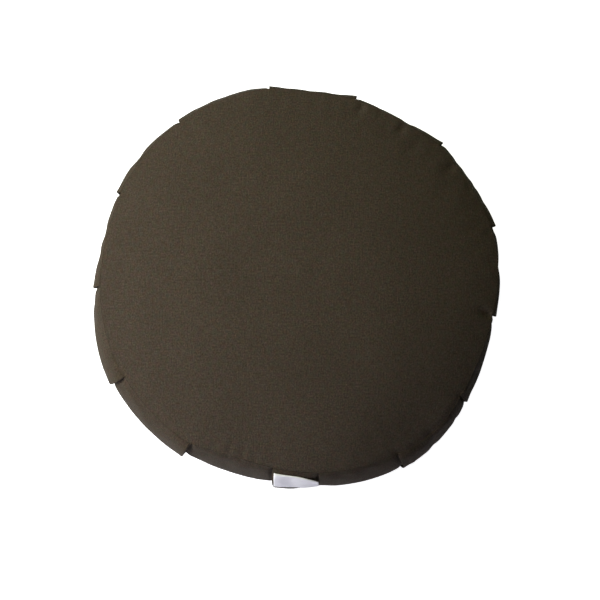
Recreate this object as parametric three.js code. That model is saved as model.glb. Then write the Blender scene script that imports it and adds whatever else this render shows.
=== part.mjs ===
// A zafu: a round meditation cushion, filled tight. A crowned top panel and a base panel are sewn to
// a side band that is folded into pleats, and a small woven label is sewn on the band at the front.
// Millimetres, +Z up. The origin is the middle of the flat face that the cushion rests on.
// The front, with the label, looks along -Y. Angles are in degrees, counter-clockwise from +X.

import * as THREE from 'three';

// heights above the floor
const CROWN_Z = 150;
const TOP_SEAM_Z = 121;
const BELLY_Z = 68;
const BASE_SEAM_Z = 20;

// cloth
const PANEL_THICKNESS = 2;
const LABEL_THICKNESS = 1;
const GAP = 0.3; // between two pieces that lie on each other

// side band
const WALL_FULLNESS = 3; // 2 is a round barrel, more is nearer to a straight wall
const WALL_TURN = 75; // degrees that the wall turns from the belly to a seam: at 90 it would leave the seam flat
const SEAM_RADIUS = 171; // the mean top seam, where it stands at TOP_SEAM_Z
const SEAM_DROP = 0.3; // fall of the top seam for each millimetre that it stands further out
const BASE_SEAM_RADIUS = 166; // the base seam keeps half of the top seam's unevenness
const BASE_LEAN = 0.6; // lean of the folds below the belly, as a share of the lean above it
const SEAM_EDGE = 0.5; // rounding of the band's edge in the seam
const FOLD_REACH = 25; // degrees of the profile over which a fold opens to its full step
const SLOT_DEPTH = 6; // how far the open part of a fold reaches under its edge

// crown and base
const CROWN_FULLNESS = 2.5; // 2 is a parabola, more is flatter in the middle and steeper at the seam
const REST_RADIUS = 118; // the flat part of the base
const BASE_CURVE = 1.6;
const PANEL_EDGE = 0.9; // rounding of a panel's edge

// label
const LABEL_HEIGHT = 19;
const LABEL_TOP = 4.2; // from the top seam down the band to its top edge
const LABEL_DROP = 7; // how much lower its right end hangs
const LABEL_LIFT = 2.5; // how far its right end stands off the band
const LABEL_CURL = 4; // how sharply the drop and the lift come in towards that end
const LABEL_INSET = 1.6; // from the fold's edge at its left end
const LABEL_TUCK = 0.9; // from the next fold's edge at its right end

// steps of the meshes
const FACE_STEPS = 8; // between two folds
const PROFILE_STEPS = 14; // from the top seam to the base seam
const LABEL_COLUMNS = 8;
const LABEL_ROWS = 5;

// The folds of the band, counter-clockwise.
//   angle    where the fold's free edge stands at the belly
//   faces    1 when that edge looks counter-clockwise, -1 when it looks clockwise
//   over     radius of the cloth on top, beside the edge
//   under    radius of the cloth that it lies on
//   belly    radius of the band half-way to the next fold
//   seam     radius of the top seam at the fold
//   seamMid  radius of the top seam half-way to the next fold
//   lean     how far the edge has turned where it meets the top seam
const FOLDS = [
  { angle: 17.5, faces: -1, over: 185.5, under: 183.5, belly: 180.5, seam: 176, seamMid: 173.5, lean: -2 },
  { angle: 45, faces: -1, over: 183.5, under: 182, belly: 175, seam: 173.5, seamMid: 168.5, lean: -1.5 },
  { angle: 72.5, faces: -1, over: 178.5, under: 177, belly: 173.5, seam: 169, seamMid: 168, lean: -0.5 },
  { angle: 97.5, faces: 1, over: 180.5, under: 179.5, belly: 181, seam: 172.5, seamMid: 173.5, lean: 0.5 },
  { angle: 125, faces: 1, over: 182, under: 180.5, belly: 181, seam: 174, seamMid: 173.5, lean: 1 },
  { angle: 152, faces: 1, over: 180.5, under: 178, belly: 176, seam: 171.5, seamMid: 169.5, lean: 1.5 },
  { angle: 180, faces: 1, over: 180.5, under: 178, belly: 183, seam: 170, seamMid: 171, lean: 2 },
  { angle: 207, faces: 1, over: 187, under: 184, belly: 181.5, seam: 170, seamMid: 169, lean: 3 },
  { angle: 236, faces: 1, over: 182, under: 178, belly: 173.5, seam: 168.5, seamMid: 162.5, lean: 1.5 },
  { angle: 263.5, faces: -1, over: 179, under: 174, belly: 178, seam: 164, seamMid: 166, lean: -0.5 },
  { angle: 276, faces: -1, over: 177, under: 175.5, belly: 181, seam: 168, seamMid: 171, lean: 0.5 },
  { angle: 300.5, faces: -1, over: 187, under: 185, belly: 185, seam: 173.5, seamMid: 177.5, lean: -0.5 },
  { angle: 326, faces: -1, over: 183, under: 181.5, belly: 177.5, seam: 174, seamMid: 172, lean: -1.5 },
  { angle: 352.5, faces: -1, over: 179, under: 177, belly: 179.5, seam: 172.5, seamMid: 175, lean: -3 },
];
const LABEL_FOLD = 9; // the label lies between this fold and the next

// The section of a fold, from the cloth on top round its edge, in under it and out on the cloth below.
//   closed, open  distance from the edge along the band, at a seam and where the fold stands open
//   drop          depth under the cloth on top, as a share of the fold's step
const FOLD_SECTION = [
  { closed: -0.8, open: -1, drop: 0 },
  { closed: -0.3, open: 0, drop: 0.3 },
  { closed: 0.2, open: -0.5, drop: 0.62 },
  { closed: 0.7, open: -SLOT_DEPTH, drop: 0.78 },
  { closed: 1.2, open: 1, drop: 1 },
];

// The rings of a panel from its edge inwards: share of the seam's radius, and points in the ring.
const TOP_RINGS = [
  { share: 0.965, points: 84 },
  { share: 0.9, points: 84 },
  { share: 0.78, points: 42 },
  { share: 0.6, points: 42 },
  { share: 0.34, points: 21 },
];
const BASE_RINGS = [
  { share: 0.965, points: 84 },
  { share: 0.9, points: 84 },
  { share: 0.81, points: 42 },
  { radius: REST_RADIUS, points: 42 },
  { radius: REST_RADIUS / 2, points: 21 },
];

const cotton = { roughness: 0.95, metalness: 0 };
const panelCotton = new THREE.MeshStandardMaterial({ color: 0x463d32, ...cotton });
const bandCotton = new THREE.MeshStandardMaterial({ color: 0x443c32, ...cotton });
const labelTape = new THREE.MeshStandardMaterial({ color: 0xe9e8e4, roughness: 0.8, metalness: 0 });

const radians = (degrees) => (degrees * Math.PI) / 180;
const blend = (from, to, share) => from + (to - from) * share;

function smooth(value, end) {
  const share = THREE.MathUtils.clamp(value / end, 0, 1);
  return share * share * (3 - 2 * share);
}

// the parabola that has these values at 0, a half and 1
function through(start, middle, end, share) {
  const rise = 1 - share;
  return start * rise * (1 - 2 * share) + 4 * middle * share * rise + end * share * (2 * share - 1);
}

function foldAfter(index) {
  const next = FOLDS[(index + 1) % FOLDS.length];
  const turn = index + 1 === FOLDS.length ? 360 : 0;
  return { ...next, angle: next.angle + turn };
}

// How the cloth between a fold and the next one stands, at a share of the way:
// its angle at the belly, its lean, its radii at the seam and at the belly, and its lift beside each fold.
function clothAt(index, share) {
  const fold = FOLDS[index];
  const next = foldAfter(index);
  const leaving = (-fold.faces * (fold.over - fold.under)) / 2;
  const arriving = (next.faces * (next.over - next.under)) / 2;
  const foldMean = (fold.over + fold.under) / 2;
  const nextMean = (next.over + next.under) / 2;
  return {
    angle: blend(fold.angle, next.angle, share),
    lean: blend(fold.lean, next.lean, share),
    seam: through(fold.seam, fold.seamMid, next.seam, share),
    belly: through(foldMean, fold.belly, nextMean, share),
    lift: leaving * (1 - share) ** 3 + arriving * share ** 3,
  };
}

const MOST_RISE = Math.sin(radians(WALL_TURN));
const topSeamHeight = (seam) => TOP_SEAM_Z - SEAM_DROP * (seam - SEAM_RADIUS);
const baseSeamRadius = (seam) => BASE_SEAM_RADIUS + (seam - SEAM_RADIUS) / 2;

// A point of the band's outer face. The profile angle is 90 at the top seam, 0 at the belly and -90 at
// the base seam. The lift is how far it stands out, and offset how far it is moved along the band.
function bandPoint(cloth, profile, lift, offset) {
  const upper = profile >= 0;
  const seamRadius = (upper ? cloth.seam : baseSeamRadius(cloth.seam)) + SEAM_EDGE;
  const seamZ = upper ? topSeamHeight(cloth.seam) : BASE_SEAM_Z;
  const rise = Math.abs(Math.sin(radians((profile * WALL_TURN) / 90)));
  const widthAt = (height) => Math.sqrt(1 - height ** WALL_FULLNESS);
  const bulge = (widthAt(rise) - widthAt(MOST_RISE)) / (1 - widthAt(MOST_RISE));
  const radius = blend(seamRadius, cloth.belly, bulge) + lift;
  const z = blend(BELLY_Z, seamZ, rise / MOST_RISE);
  const lean = cloth.lean * Math.sin(radians(profile)) * (upper ? 1 : BASE_LEAN);
  return { angle: radians(cloth.angle + lean) + offset / radius, radius, z };
}

const foldOpening = (profile) => smooth(90 - Math.abs(profile), FOLD_REACH);

// The five points of a fold's section at one height, in counter-clockwise order.
function foldPoints(index, profile) {
  const { faces, over, under } = FOLDS[index];
  const cloth = clothAt(index, 0);
  const opening = foldOpening(profile);
  const step = over - under;
  const points = FOLD_SECTION.map(({ closed, open, drop }) => {
    const lift = (step / 2 - step * drop) * opening;
    return bandPoint(cloth, profile, lift, faces * blend(closed, open, opening));
  });
  return faces > 0 ? points : points.reverse();
}

function facePoints(index, profile) {
  const points = [];
  for (let step = 1; step < FACE_STEPS; step += 1) {
    const cloth = clothAt(index, step / FACE_STEPS);
    points.push(bandPoint(cloth, profile, cloth.lift * foldOpening(profile), 0));
  }
  return points;
}

function bandRing(profile) {
  return FOLDS.flatMap((fold, index) => [...foldPoints(index, profile), ...facePoints(index, profile)]);
}

// The radius of the top seam in any direction.
function seamRadiusAt(angle) {
  let degrees = THREE.MathUtils.radToDeg(angle);
  const first = FOLDS[0].angle + FOLDS[0].lean;
  while (degrees < first) degrees += 360;
  while (degrees >= first + 360) degrees -= 360;
  for (let index = 0; index < FOLDS.length; index += 1) {
    const start = FOLDS[index].angle + FOLDS[index].lean;
    const next = foldAfter(index);
    const end = next.angle + next.lean;
    if (degrees < end) return clothAt(index, (degrees - start) / (end - start)).seam;
  }
  return FOLDS[0].seam;
}

// The crowned top of the cushion, before the panel's thickness is taken off for what lies under it.
function crownHeight(radius, seam) {
  const edge = topSeamHeight(seam);
  return blend(edge, CROWN_Z, 1 - Math.min(1, radius / seam) ** CROWN_FULLNESS);
}

// The base, flat where it rests and curved up to its seam.
function baseHeight(radius, seam) {
  const edge = baseSeamRadius(seam);
  return BASE_SEAM_Z * Math.max(0, (radius - REST_RADIUS) / (edge - REST_RADIUS)) ** BASE_CURVE;
}

const TOP = { edge: (seam) => seam, height: crownHeight, rings: TOP_RINGS, inward: -1 };
const BASE = { edge: baseSeamRadius, height: baseHeight, rings: BASE_RINGS, inward: 1 };

// The seam as the band meets it: one point for each column of the band, with the seam's radius there.
function seamColumns(side) {
  const profile = side === TOP ? 90 : -90;
  return bandRing(profile).map((point) => {
    const radius = point.radius - SEAM_EDGE;
    const seam = side === TOP ? radius : SEAM_RADIUS + 2 * (radius - BASE_SEAM_RADIUS);
    return { angle: point.angle, seam };
  });
}

// A ring of points on one side of the cushion, sunk inwards from its outer face.
function ringFrom(columns, side, inset, sink) {
  return columns.map(({ angle, seam }) => {
    const radius = side.edge(seam) - inset;
    return { angle, radius, z: side.height(radius, seam) + side.inward * sink };
  });
}

function innerRings(side, sink) {
  return side.rings.map(({ share, radius, points }) => {
    const ring = [];
    for (let step = 0; step < points; step += 1) {
      const angle = (2 * Math.PI * step) / points;
      const seam = seamRadiusAt(angle);
      const reach = radius ?? share * side.edge(seam);
      ring.push({ angle, radius: reach, z: side.height(reach, seam) + side.inward * sink });
    }
    return ring;
  });
}

function middleHeight(side, sink) {
  return side.height(0, SEAM_RADIUS) + side.inward * sink;
}

// Collects rings of points into one closed body.
class RingBody {
  constructor() {
    this.positions = [];
    this.faces = [];
  }

  addPoint(x, y, z) {
    this.positions.push(x, y, z);
    return this.positions.length / 3 - 1;
  }

  addRing(ring) {
    return ring.map(({ angle, radius, z }) => {
      const index = this.addPoint(radius * Math.cos(angle), radius * Math.sin(angle), z);
      return { angle, index };
    });
  }

  // the faces between two rings of as many points
  joinEqual(upper, lower) {
    upper.forEach((point, column) => {
      const next = (column + 1) % upper.length;
      this.faces.push(lower[column].index, lower[next].index, upper[next].index);
      this.faces.push(lower[column].index, upper[next].index, point.index);
    });
  }

  // the faces between two rings of unlike points, from one direction round to the next
  joinByAngle(outer, inner, up) {
    const turned = (ring, column) => {
      const turns = Math.floor(column / ring.length);
      return ring[column % ring.length].angle + 2 * Math.PI * turns;
    };
    let inStart = 0;
    while (turned(inner, inStart + 1) <= turned(outer, 0)) inStart += 1;
    let out = 0;
    let inn = inStart;
    while (out < outer.length || inn < inStart + inner.length) {
      const outerPoint = outer[out % outer.length].index;
      const innerPoint = inner[inn % inner.length].index;
      const stepOut = inn === inStart + inner.length
        || (out < outer.length && turned(outer, out + 1) <= turned(inner, inn + 1));
      const far = stepOut ? outer[(out + 1) % outer.length].index : inner[(inn + 1) % inner.length].index;
      this.faces.push(...(up ? [outerPoint, far, innerPoint] : [outerPoint, innerPoint, far]));
      if (stepOut) out += 1;
      else inn += 1;
    }
  }

  // from a ring in to the middle, with the face up or down
  close(rings, middleZ, up) {
    let outer = rings[0];
    rings.slice(1).forEach((inner) => {
      this.joinByAngle(outer, inner, up);
      outer = inner;
    });
    const middle = this.addPoint(0, 0, middleZ);
    outer.forEach((point, column) => {
      const next = outer[(column + 1) % outer.length].index;
      this.faces.push(...(up ? [point.index, next, middle] : [next, point.index, middle]));
    });
  }

  mesh(name, material) {
    const geometry = new THREE.BufferGeometry();
    geometry.setAttribute('position', new THREE.Float32BufferAttribute(this.positions, 3));
    geometry.setIndex(this.faces);
    geometry.computeVertexNormals();
    const mesh = new THREE.Mesh(geometry, material);
    mesh.name = name;
    return mesh;
  }
}

// The filled body of the cushion: the pleated band outside, and the faces that the two panels lie on.
function makeSideBand() {
  const body = new RingBody();
  const sunk = PANEL_THICKNESS + GAP;
  const seamEdge = (side) => ringFrom(seamColumns(side), side, 0, SEAM_EDGE);
  const seamFoot = (side) => ringFrom(seamColumns(side), side, 0, sunk);

  const rings = [seamFoot(TOP), seamEdge(TOP)];
  for (let step = 0; step <= PROFILE_STEPS; step += 1) {
    rings.push(bandRing(90 - (180 * step) / PROFILE_STEPS));
  }
  rings.push(seamEdge(BASE), seamFoot(BASE));

  const added = rings.map((ring) => body.addRing(ring));
  for (let row = 1; row < added.length; row += 1) body.joinEqual(added[row - 1], added[row]);
  const capRings = (side) => innerRings(side, sunk).map((ring) => body.addRing(ring));
  body.close([added[0], ...capRings(TOP)], middleHeight(TOP, sunk), true);
  body.close([added[added.length - 1], ...capRings(BASE)], middleHeight(BASE, sunk), false);
  return body.mesh('side_band', bandCotton);
}

// A panel: a sheet of one thickness that follows the crown or the base and ends in the seam.
function makePanel(name, side) {
  const body = new RingBody();
  const columns = seamColumns(side);
  const faceRing = body.addRing(ringFrom(columns, side, GAP + PANEL_EDGE, 0));
  const edgeRing = body.addRing(ringFrom(columns, side, GAP, PANEL_EDGE));
  const backRing = body.addRing(ringFrom(columns, side, GAP, PANEL_THICKNESS));
  const isTop = side === TOP;
  const wall = [faceRing, edgeRing, backRing];
  if (!isTop) wall.reverse();
  body.joinEqual(wall[0], wall[1]);
  body.joinEqual(wall[1], wall[2]);
  const inner = (sink) => innerRings(side, sink).map((ring) => body.addRing(ring));
  body.close([faceRing, ...inner(0)], middleHeight(side, 0), isTop);
  body.close([backRing, ...inner(PANEL_THICKNESS)], middleHeight(side, PANEL_THICKNESS), !isTop);
  return body.mesh(name, panelCotton);
}

// The label: a small sheet on the band between two folds. It follows the band's face, and its right end
// hangs lower and stands off it a little.
function makeLabel() {
  const fold = FOLDS[LABEL_FOLD];
  const next = foldAfter(LABEL_FOLD);
  const width = radians(next.angle - fold.angle) * fold.belly;
  const start = LABEL_INSET / width;
  const end = 1 - LABEL_TUCK / width;

  // the profile angle that lies a given distance down the band's face from the top seam
  const profileBelow = (cloth, distance) => {
    let profile = 90;
    let left = distance;
    const stepAngle = 0.25;
    while (left > 0) {
      const here = bandPoint(cloth, profile, 0, 0);
      const below = bandPoint(cloth, profile - stepAngle, 0, 0);
      left -= Math.hypot(below.radius - here.radius, below.z - here.z);
      profile -= stepAngle;
    }
    return profile;
  };

  const surface = (share, distance, height) => {
    const cloth = clothAt(LABEL_FOLD, share);
    const profile = profileBelow(cloth, distance);
    const lift = cloth.lift * foldOpening(profile);
    const here = bandPoint(cloth, profile, lift, 0);
    const above = bandPoint(cloth, profile + 1, lift, 0);
    const below = bandPoint(cloth, profile - 1, lift, 0);
    const slope = Math.hypot(above.radius - below.radius, above.z - below.z);
    const outwards = (above.z - below.z) / slope;
    const upwards = (below.radius - above.radius) / slope;
    return { angle: here.angle, radius: here.radius + outwards * height, z: here.z + upwards * height };
  };

  const body = new RingBody();
  const grid = (height) => {
    const rows = [];
    for (let row = 0; row <= LABEL_ROWS; row += 1) {
      const points = [];
      for (let column = 0; column <= LABEL_COLUMNS; column += 1) {
        const across = column / LABEL_COLUMNS;
        const curl = across ** LABEL_CURL;
        const distance = LABEL_TOP + (LABEL_HEIGHT * row) / LABEL_ROWS + LABEL_DROP * curl;
        points.push(surface(blend(start, end, across), distance, height + LABEL_LIFT * curl));
      }
      rows.push(body.addRing(points));
    }
    return rows;
  };
  const back = grid(GAP);
  const face = grid(GAP + LABEL_THICKNESS);
  const quad = (a, b, c, d) => body.faces.push(a.index, b.index, c.index, a.index, c.index, d.index);
  for (let row = 0; row < LABEL_ROWS; row += 1) {
    for (let column = 0; column < LABEL_COLUMNS; column += 1) {
      quad(face[row + 1][column], face[row + 1][column + 1], face[row][column + 1], face[row][column]);
      quad(back[row][column], back[row][column + 1], back[row + 1][column + 1], back[row + 1][column]);
    }
    const last = LABEL_COLUMNS;
    quad(back[row + 1][0], face[row + 1][0], face[row][0], back[row][0]);
    quad(face[row + 1][last], back[row + 1][last], back[row][last], face[row][last]);
  }
  for (let column = 0; column < LABEL_COLUMNS; column += 1) {
    const last = LABEL_ROWS;
    quad(face[0][column], face[0][column + 1], back[0][column + 1], back[0][column]);
    quad(back[last][column], back[last][column + 1], face[last][column + 1], face[last][column]);
  }
  return body.mesh('label', labelTape);
}

const zafu = new THREE.Group();
zafu.name = 'zafu';
zafu.add(makeSideBand());
zafu.add(makePanel('top_panel', TOP));
zafu.add(makePanel('base_panel', BASE));
zafu.add(makeLabel());

export default zafu;
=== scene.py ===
"""A zafu, a round meditation cushion in dark brown cotton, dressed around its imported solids.

The pleated side band, the crowned top panel, the base panel and the small woven label are fine meshes
around the forms of their solids. Blender's cloth simulation puffs the band and the top panel between
their sewn seams, the puckers and dents that the photograph shows are added to that, and procedural
materials give the weave. Lengths are in metres and angles in degrees, counter-clockwise from +X, unless
a name or comment says otherwise.
"""

import math

import bpy
import numpy as np
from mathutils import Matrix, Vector


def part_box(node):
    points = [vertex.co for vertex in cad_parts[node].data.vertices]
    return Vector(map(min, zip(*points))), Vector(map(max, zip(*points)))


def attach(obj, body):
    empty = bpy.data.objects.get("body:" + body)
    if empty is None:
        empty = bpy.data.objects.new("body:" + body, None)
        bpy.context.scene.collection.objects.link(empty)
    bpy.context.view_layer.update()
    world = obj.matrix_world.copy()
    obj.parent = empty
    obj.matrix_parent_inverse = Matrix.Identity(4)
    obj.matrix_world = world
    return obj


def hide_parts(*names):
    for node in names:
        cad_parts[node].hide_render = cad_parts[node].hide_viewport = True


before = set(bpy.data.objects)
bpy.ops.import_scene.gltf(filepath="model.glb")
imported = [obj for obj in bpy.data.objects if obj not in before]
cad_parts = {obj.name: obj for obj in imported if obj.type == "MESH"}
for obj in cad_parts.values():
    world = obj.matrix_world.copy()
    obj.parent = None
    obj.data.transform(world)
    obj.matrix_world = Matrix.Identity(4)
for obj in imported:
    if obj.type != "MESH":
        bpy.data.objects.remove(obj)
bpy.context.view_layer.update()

MM = 0.001
ROOT = "root"
UV_MAP = "weave"


def by_column(names, rows, lengths):
    """The values of a table's rows by the names of its columns, with its lengths brought to metres."""
    values = {name: np.array(column, float) for name, column in zip(names, zip(*rows))}
    for name in lengths:
        values[name] *= MM
    return values


# --- sizes, as the solids have them ---------------------------------------------------------------

CROWN_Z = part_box("top_panel")[1].z
TOP_SEAM_Z = 121 * MM
BELLY_Z = 68 * MM
BASE_SEAM_Z = 20 * MM
PANEL_THICKNESS = 2 * MM
GAP = 0.3 * MM  # between two pieces that lie on each other

WALL_FULLNESS = 3  # 2 is a round barrel, more is nearer to a straight wall
WALL_TURN = 75  # degrees that the wall turns from the belly to a seam: at 90 it would leave the seam flat
SEAM_RADIUS = 171 * MM  # the mean top seam, where it stands at TOP_SEAM_Z
SEAM_DROP = 0.3  # fall of the top seam for each metre that it stands further out
BASE_SEAM_RADIUS = 166 * MM
BASE_LEAN = 0.6  # lean of the folds below the belly, as a share of the lean above it
CROWN_FULLNESS = 2.5  # 2 is a parabola, more is flatter in the middle and steeper at the seam
REST_RADIUS = 118 * MM  # inside it the base lies flat on the floor
BASE_CURVE = 1.6  # how the base rises from there to its seam: 1 is a straight cone, more a rounder one

# The folds of the band, counter-clockwise, with radii in millimetres: where each fold's free edge
# stands, which way it looks, the cloth over and under it, the band half-way to the next fold, the top
# seam there and half-way on, and how far the edge has turned where it meets the top seam.
FOLD_COLUMNS = ("angle", "faces", "over", "under", "belly", "seam", "seam_mid", "lean")
FOLD_ROWS = (
    (17.5, -1, 185.5, 183.5, 180.5, 176, 173.5, -2),
    (45, -1, 183.5, 182, 175, 173.5, 168.5, -1.5),
    (72.5, -1, 178.5, 177, 173.5, 169, 168, -0.5),
    (97.5, 1, 180.5, 179.5, 181, 172.5, 173.5, 0.5),
    (125, 1, 182, 180.5, 181, 174, 173.5, 1),
    (152, 1, 180.5, 178, 176, 171.5, 169.5, 1.5),
    (180, 1, 180.5, 178, 183, 170, 171, 2),
    (207, 1, 187, 184, 181.5, 170, 169, 3),
    (236, 1, 182, 178, 173.5, 168.5, 162.5, 1.5),
    (263.5, -1, 179, 174, 178, 164, 166, -0.5),
    (276, -1, 177, 175.5, 181, 168, 171, 0.5),
    (300.5, -1, 187, 185, 185, 173.5, 177.5, -0.5),
    (326, -1, 183, 181.5, 177.5, 174, 172, -1.5),
    (352.5, -1, 179, 177, 179.5, 172.5, 175, -3),
)
FOLD = by_column(FOLD_COLUMNS, FOLD_ROWS, ("over", "under", "belly", "seam", "seam_mid"))
FOLDS = len(FOLD_ROWS)
NEXT_FOLD = np.roll(np.arange(FOLDS), -1)
SPAN = (FOLD["angle"][NEXT_FOLD] - FOLD["angle"]) % 360  # degrees from a fold to the next
WIDTH = np.radians(SPAN) * FOLD["belly"]  # the same along the belly
FOLD_MEAN = (FOLD["over"] + FOLD["under"]) / 2
STEP = FOLD["over"] - FOLD["under"]

# --- fine shape -----------------------------------------------------------------------------------

SEAM_ROUND = 0.15 * MM  # the radius in which the band's cloth turns into a seam
PANEL_ROUND = 0.15 * MM  # the radius in which a panel's edge turns down
ROUND_STEPS = 4
QUARTER_TURNS = math.pi / 2 * np.arange(1, ROUND_STEPS + 1) / ROUND_STEPS  # of the cloth round such an edge

SEAM_OPENING = 0.35  # how far a fold stands open close beside the seam, as a share of its step
SEAM_OPENING_REACH = 5  # degrees of the profile over which it opens that far
FOLD_REACH = 25  # degrees of the profile over which it opens to its full step
FOLD_CLOSED = 1.2 * MM  # half of the width that a closed fold takes up in the seam
STEP_FADE = 3  # how quickly a fold's step fades out over the cloth beside it: 1 is a straight slope
LIP_THICKNESS = 1.7 * MM  # two layers of cloth turned over
LIP_SHARE = 0.7  # the most of a fold's step that its lip takes up
LIP_STEPS = 6
LIP_BEHIND = (-2.6 * MM, -1.7 * MM)  # where the columns behind a lip stand, from the fold's edge
SLOT_DEPTH = 7 * MM  # how far a fold reaches in under its edge
# The way into a slot and out again: shares of the slot's depth, of the step behind the lip and of the tuck.
SLOT_ROWS = (
    (-0.3, 0.15, 0),
    (-0.65, 0.35, 0),
    (-0.95, 0.6, 0.2),
    (-1, 0.72, 0.5),
    (-0.95, 0.84, 0.8),
    (-0.55, 0.93, 1),
)
SLOT_MOUTH = -1.0 * MM  # where its last column stands, from the fold's edge
SLOT_MOUTH_DEPTH = 0.98  # and how deep, as a share of the step behind the lip
SLOT_AHEAD = (0.2 * MM, 1.2 * MM, 2.2 * MM, 3.2 * MM)  # where the columns in front of the edge stand
TUCK_DEPTH = 1.3 * MM  # how far the cloth under a fold dips towards it
TUCK_REACH = 3 * MM

FACE_MARGIN = 4 * MM  # from a fold to the first column of plain cloth
FACE_STEPS = 34  # columns from one fold to the next
WALL_ROWS = 44  # rows from a seam to the belly
WALL_CROWDING = 1.35  # how much the rows crowd towards the seam: at 1 they are even
PANEL_ROWS = 54
PANEL_CROWDING = 1.3
PANEL_COLUMNS = 504
PANEL_REACH = 0.995  # how far in from the seam a panel's rows go, as a share of its radius
BACK_ROWS = 10
BACK_INNER = 0.06  # the radius of the innermost ring of a hidden face, as a share of the seam's
BACK_SHARES = np.linspace(1, BACK_INNER, BACK_ROWS)[:, None]

# The puckers that the photograph shows at the top seam, in degrees and millimetres: where each one
# meets the seam, how far it slants from square to it, how far it runs in over the panel and down over
# the band, how wide it is to each side, and how deep (a ridge has a depth below nought).
PUCKER_COLUMNS = ("angle", "slant", "inward", "outward", "width", "depth")
PUCKER_ROWS = (
    (5, 10, 16, 130, 4, 0.5),
    (14, -6, 12, 130, 3.5, 1.1),
    (23.5, 0, 6, 130, 3.5, 0.5),
    (28.5, 0, 6, 130, 4, 0.9),
    (36.4, -6, 22, 40, 4.5, 1.7),
    (44.5, 0, 14, 20, 4, 0.4),
    (55.4, 2, 24, 30, 4.2, 2.1),
    (63.2, 0, 26, 16, 4, 0.9),
    (69.4, 5, 24, 20, 4, 2.1),
    (88, 0, 14, 20, 5, 0.3),
    (138, 0, 12, 14, 6, 0.3),
    (182.2, 0, 3, 9, 2, 0.5),
    (193, 0, 10, 16, 5, 0.4),
    (210.2, 0, 3, 16, 2, 0.9),
    (222, 0, 12, 16, 6, 0.4),
    (237.8, 0, 4, 16, 2, 0.9),
    (243.8, 4, 18, 5, 2.6, 0.7),
    (248.9, 0, 22, 4, 2, 1.3),
    (253.2, 0, 18, 6, 2.4, 0.9),
    (257, 0, 14, 8, 3, 0.6),
    (263.2, 0, 4, 14, 2, 0.8),
    (300.2, 0, 4, 16, 2, 1.2),
    (303.5, 0, 6, 130, 3, -0.8),
    (310.8, 0, 8, 130, 4.5, 1.7),
    (319.8, 0, 6, 130, 3.5, 1.0),
    (324.8, 0, 5, 14, 2, 1.2),
    (333, 0, 18, 60, 5, 0.7),
    (349.4, 10, 18, 60, 3, 3),
)
PUCKER = by_column(PUCKER_COLUMNS, PUCKER_ROWS, ("inward", "outward", "width", "depth"))
PUCKER_RISE = 0.25  # where along its length a pucker is deepest
PUCKER_START = 0.35  # its depth in the seam itself, as a share of its greatest depth
PUCKER_START_WIDTH = 0.7  # its width in the seam, as a share of the width in the table
PUCKER_WIDENING = 0.6  # and how much of that width it gains along its length

# Broad dents in the filling under the top panel, in degrees and millimetres (a bump has a depth below
# nought).
DENT_COLUMNS = ("angle", "radius", "size", "depth")
DENT_ROWS = (
    (307, 195, 55, 8),
    (331, 192, 44, 4),
    (5, 172, 20, -1.5),
    (100, 60, 45, -0.6),
)
DENT = by_column(DENT_COLUMNS, DENT_ROWS, ("radius", "size", "depth"))
DENT_CENTRE = DENT["radius"] * np.exp(1j * np.radians(DENT["angle"]))
DENT_FADE = 60  # degrees of the profile, up from the belly, over which the band comes to sink with them

STRAIN_ANGLE = 278  # where the top seam is strained open the most
STRAIN_SPAN = 38  # and over how many degrees to each side
SEAM_GAP = 0.05 * MM  # how far a panel's edge stands from the band's in the seam
SEAM_GAP_STRAINED = 0.4 * MM  # and how much further where the seam is strained open
SEAM_DRAW = 0.1 * MM  # how far the cloth is drawn in beside the seam, all round
SEAM_DRAW_STRAINED = 0.3 * MM  # and how much further where the seam is strained open
SEAM_DRAW_MOST = 1.1 * MM  # and how much further where it is drawn in the most
SEAM_DRAW_ANGLE = 312  # where that is
SEAM_DRAW_SPAN = 14  # and over how many degrees to each side
SEAM_DRAW_WIDTH = 3.2 * MM  # how far from the seam the drawn-in cloth reaches

# --- helpers --------------------------------------------------------------------------------------


def mix(start, end, share):
    return start + (end - start) * share


def smooth(share):
    share = np.clip(share, 0, 1)
    return share * share * (3 - 2 * share)


def bell(distance, span):
    """1 in the middle, falling away smoothly to both sides over the span."""
    return np.exp(-((distance / span) ** 2))


def parabola(start, middle, end, share):
    """The parabola that has these values at 0, a half and 1."""
    rest = 1 - share
    return start * rest * (1 - 2 * share) + 4 * middle * share * rest + end * share * (2 * share - 1)


def angle_between(angle, other):
    return (angle - other + 180) % 360 - 180


def polar(radius, turn, z):
    """Points at a radius, a turn in radians and a height."""
    return np.stack([radius * np.cos(turn), radius * np.sin(turn), z], axis=-1)


def lengths_along(points):
    """How far along its line each point lies, where lines of points run down the first axis."""
    steps = np.linalg.norm(np.diff(points, axis=0), axis=-1)
    return np.concatenate([np.zeros_like(steps[:1]), np.cumsum(steps, axis=0)])


def seam_spaced(count, crowding):
    """Shares from 0 to 1 that crowd towards 0."""
    return np.linspace(0, 1, count) ** crowding


def wall_profiles(rows):
    """The band's profile angles from the top seam down, with this many rows from a seam to the belly."""
    from_seam = 90 * seam_spaced(rows + 1, WALL_CROWDING)
    upper = 90 - from_seam
    return np.concatenate([upper, -upper[::-1][1:]])


def grid_faces(rows, columns, flip=False):
    """Quads between rows of points that close on themselves."""
    here = np.arange(rows - 1)[:, None] * columns + np.arange(columns)
    after = np.arange(rows - 1)[:, None] * columns + (np.arange(columns) + 1) % columns
    quads = np.stack([here, here + columns, after + columns, after], axis=-1).reshape(-1, 4)
    return (quads[:, ::-1] if flip else quads).tolist()


def add_object(name, data):
    obj = bpy.data.objects.new(name, data)
    bpy.context.scene.collection.objects.link(obj)
    return obj


# --- the form -------------------------------------------------------------------------------------


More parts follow.
